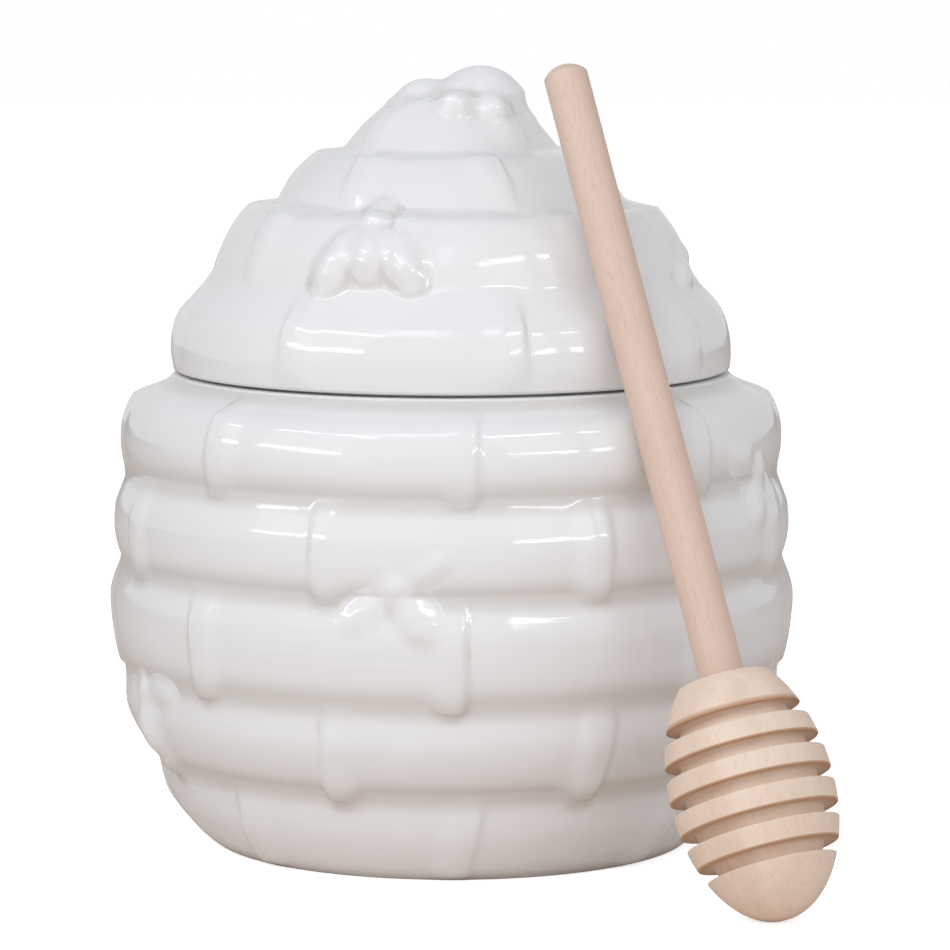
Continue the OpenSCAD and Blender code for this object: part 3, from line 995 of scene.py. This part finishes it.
def head_outline():
    """Outline [radius, height] of the head from its top to its tip."""
    line = [(0, 0), (HANDLE_R + 0.1, 0)]
    depth = 0.0
    for g in range(GROOVES + 1):
        end = CAP_H if g == 0 else depth + RING_W
        if g < GROOVES:
            for d in np.linspace(depth, end, 6):
                line.append((head_radius(d), -d))
            for d in np.linspace(end, end + GROOVE_W, 4):
                line.append((head_radius(d) - GROOVE_D, -d))
            depth = end + GROOVE_W
    for d in np.linspace(depth, HEAD_SHOULDER + HEAD_LOWER, 40):
        line.append((head_radius(d), -d))
    return line


def turned_piece(name, line, material, burn_of):
    points, faces = spin(line * MM, WOOD_COLUMNS)
    mesh = mesh_of(name, points, [f[::-1] for f in faces])
    burns = [burn_of(math.hypot(p[0], p[1]) / MM, p[2] / MM) for p in points]
    mesh.attributes.new("burn", "FLOAT", "POINT").data.foreach_set("value", burns)
    mesh.transform(lean)
    mesh = sew(name, [mesh])
    mesh.materials.append(material)
    return show(name, mesh)


def head_burn(radius, height):
    """How burnt: brown just above each groove, where the tool rubbed, and a trace inside it."""
    for g in range(GROOVES):
        top = -(CAP_H + g * (GROOVE_W + RING_W))
        if top - GROOVE_W - 0.01 <= height <= top + BURN_REACH and -height > 1:
            if radius < head_radius(-height) - 0.6:
                return GROOVE_BURN
            if height > top - 0.1:
                return EDGE_BURN
    return 0.0


head_line = rounded(head_outline(), 0.3, 4)
head = turned_piece("dipper_head_turned", head_line, head_wood, head_burn)

top = handle_length / MM - SOCKET / MM
ball = (HANDLE_R ** 2 + HANDLE_ROUND ** 2) / (2 * HANDLE_ROUND)
arc = [(r, top - ball + math.sqrt(ball ** 2 - r ** 2)) for r in np.linspace(HANDLE_R, 0, 14)]
dowel = [(0, -SOCKET / MM), (HANDLE_R, -SOCKET / MM)] + [
    (HANDLE_R, z) for z in np.linspace(-SOCKET / MM + 2, arc[0][1] - 2, 24)] + arc
dowel_line = rounded(dowel, 0.6, 4)[::-1]
handle = turned_piece("dipper_handle_turned", dowel_line, handle_wood, lambda r, h: 0.0)

# %% [markdown]
# ## Who rides on what
#
# Every piece stands for a node of the imported model, whose own mesh is hidden, and moves with
# its body.

# %% Bodies, nodes and finishes
for piece, node, body, finish in (
        (pot, "pot", "pot_body", "glaze"), (pot_bees, "pot", "pot_body", "glaze"),
        (lid, "lid", "lid_body", "glaze"), (lid_bees, "lid", "lid_body", "glaze"),
        (knob, "lid", "lid_body", "glaze"),
        (head, "dipper_head", "dipper_body", "head_wood"),
        (handle, "dipper_handle", "dipper_body", "handle_wood")):
    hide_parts(node)
    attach(piece, body)

# %% [markdown]
# ## Table, soft lamps and their reflections
#
# The jar stands on a plain pale table, which throws warm light up under the coils. Large cool
# lamps light it from the left and the front. A glossy glaze also mirrors what it sees, and that
# has to be laid out like a set: here a window at each side, whose bright top and bottom bars
# make the broken lines on the coils, and a soft panel above the left one. The lamps that light
# the clay are kept out of its mirror, and the windows only show in the mirror, so that each can
# be set by itself. The world is white to the camera, a little dimmer in a reflection and much
# dimmer as a light. The table is white to the camera alone, and warm in reflections too.

# %% Floor, lamps and world
PAPER_WHITE = (0.95, 0.95, 0.95, 1)
TABLE_WARM = (0.84, 0.74, 0.67, 1)
SKY_LIGHT = 0.38
MIRRORED_ROOM = 0.8
FLOOR_LIFT = 0.66


def seen_directly(tree, in_mirror):
    """1 for rays from the camera, in_mirror for a mirror or a glass, and 0 for diffuse light."""
    path = add(tree, "ShaderNodeLightPath").outputs
    camera_ray = Field(tree, path["Is Camera Ray"])
    mirrored = Field(tree, path["Is Glossy Ray"]).math("MAXIMUM", path["Is Transmission Ray"])
    return camera_ray.math("MAXIMUM", mirrored * in_mirror)


def floor_material():
    """A warm table for the light that it throws back, seen as white paper with a shadow."""
    material, tree, surface = shader("table_white")
    colour = add(tree, "ShaderNodeMix", {"data_type": "RGBA"})
    by_camera = Field(tree, add(tree, "ShaderNodeLightPath").outputs["Is Camera Ray"])
    for place, value in ((0, by_camera), (6, TABLE_WARM), (7, PAPER_WHITE)):
        connect(tree, value, colour.inputs[place])
    connect(tree, colour.outputs[2], surface.inputs["Base Color"])
    connect(tree, by_camera * FLOOR_LIFT, surface.inputs["Emission Strength"])
    surface.inputs["Emission Color"].default_value = (1, 1, 1, 1)
    surface.inputs["Roughness"].default_value = 1.0
    surface.inputs["Specular IOR Level"].default_value = 0.0
    return material


FLOOR_HALF = 3.0
floor = show("table", mesh_of("table", [(x * FLOOR_HALF, y * FLOOR_HALF, 0) for x, y in
                                        ((-1, -1), (1, -1), (1, 1), (-1, 1))], [[0, 1, 2, 3]]))
floor.data.materials.append(floor_material())


AIM = Vector((0, 0, 0.07))
COOL = (0.90, 0.95, 1.0)
NEUTRAL = (1.0, 0.97, 0.96)
SOFT_LAMP_AWAY = 1.3


def lamp(name, azimuth, elevation, wide, tall, radiance, colour=COOL, across=0.0, up=0.0,
         mirrored=False, distance=SOFT_LAMP_AWAY):
    """A rectangular lamp that looks at the jar. Azimuth 0 is behind the camera."""
    data = bpy.data.lights.new(name, "AREA")
    data.shape = "RECTANGLE"
    data.size, data.size_y, data.color = wide, tall, colour
    data.energy = radiance * math.pi * wide * tall
    obj = bpy.data.objects.new(name, data)
    a, e = math.radians(azimuth), math.radians(elevation)
    towards = Vector((math.sin(a) * math.cos(e), -math.cos(a) * math.cos(e), math.sin(e)))
    turn = towards.to_track_quat("Z", "Y")
    obj.location = AIM + towards * distance + turn @ Vector((across, up, 0))
    obj.rotation_euler = turn.to_euler()
    obj.visible_diffuse = not mirrored
    obj.visible_glossy = mirrored
    bpy.context.scene.collection.objects.link(obj)


# azimuth, elevation, width, height (m), radiance, colour
for row in ((-36, 38, 1.3, 0.87, 2.5, COOL), (39, 33, 0.87, 0.65, 1.5, COOL),
            (0, 12, 1.2, 0.8, 0.72, NEUTRAL), (80, 15, 1.2, 1.0, 0.38, COOL)):
    lamp("soft_lamp", *row)

BAR = 0.06
BAR_LIGHT = 9.0
BAR_AWAY = 1.12
PANE_LIGHT = 0.6
PANE_AWAY = 1.15
WINDOW_TALL = 0.5
GLOW_LIGHT = 0.7
GLOW_AWAY = 1.2


def window(azimuth, elevation, panes):
    """Panes of a window, from left to right edge in metres, each with a bar above and below."""
    for left, right in panes:
        across, wide = (left + right) / 2, right - left
        lamp("pane", azimuth, elevation, wide, WINDOW_TALL, PANE_LIGHT, COOL, across, 0.0, True,
             PANE_AWAY)
        for up in (-WINDOW_TALL / 2, WINDOW_TALL / 2):
            lamp("bar", azimuth, elevation, wide, BAR, BAR_LIGHT, COOL, across, up, True,
                 BAR_AWAY)


window(39, 33, ((-0.36, 0.08), (0.21, 0.37)))
window(-53, 33, ((-0.34, -0.02), (0.01, 0.30)))
# The glow is four panels, each smaller and a little farther off, so that its edge is soft
for step in range(4):
    lamp("glow", -19, 52, 0.6 - 0.15 * step, 0.36 - 0.08 * step, GLOW_LIGHT, COOL, 0.0, 0.0,
         True, GLOW_AWAY + 0.01 * step)

world = bpy.data.worlds.new("daylight")
bpy.context.scene.world = world
world.use_nodes = True
sky = world.node_tree
in_mirror = (MIRRORED_ROOM - SKY_LIGHT) / (1 - SKY_LIGHT)
strength = seen_directly(sky, in_mirror) * (1 - SKY_LIGHT) + SKY_LIGHT
background = sky.nodes["Background"]
background.inputs["Color"].default_value = (1, 1, 1, 1)
connect(sky, strength, background.inputs["Strength"])

bpy.context.scene.view_settings.view_transform = "Standard"
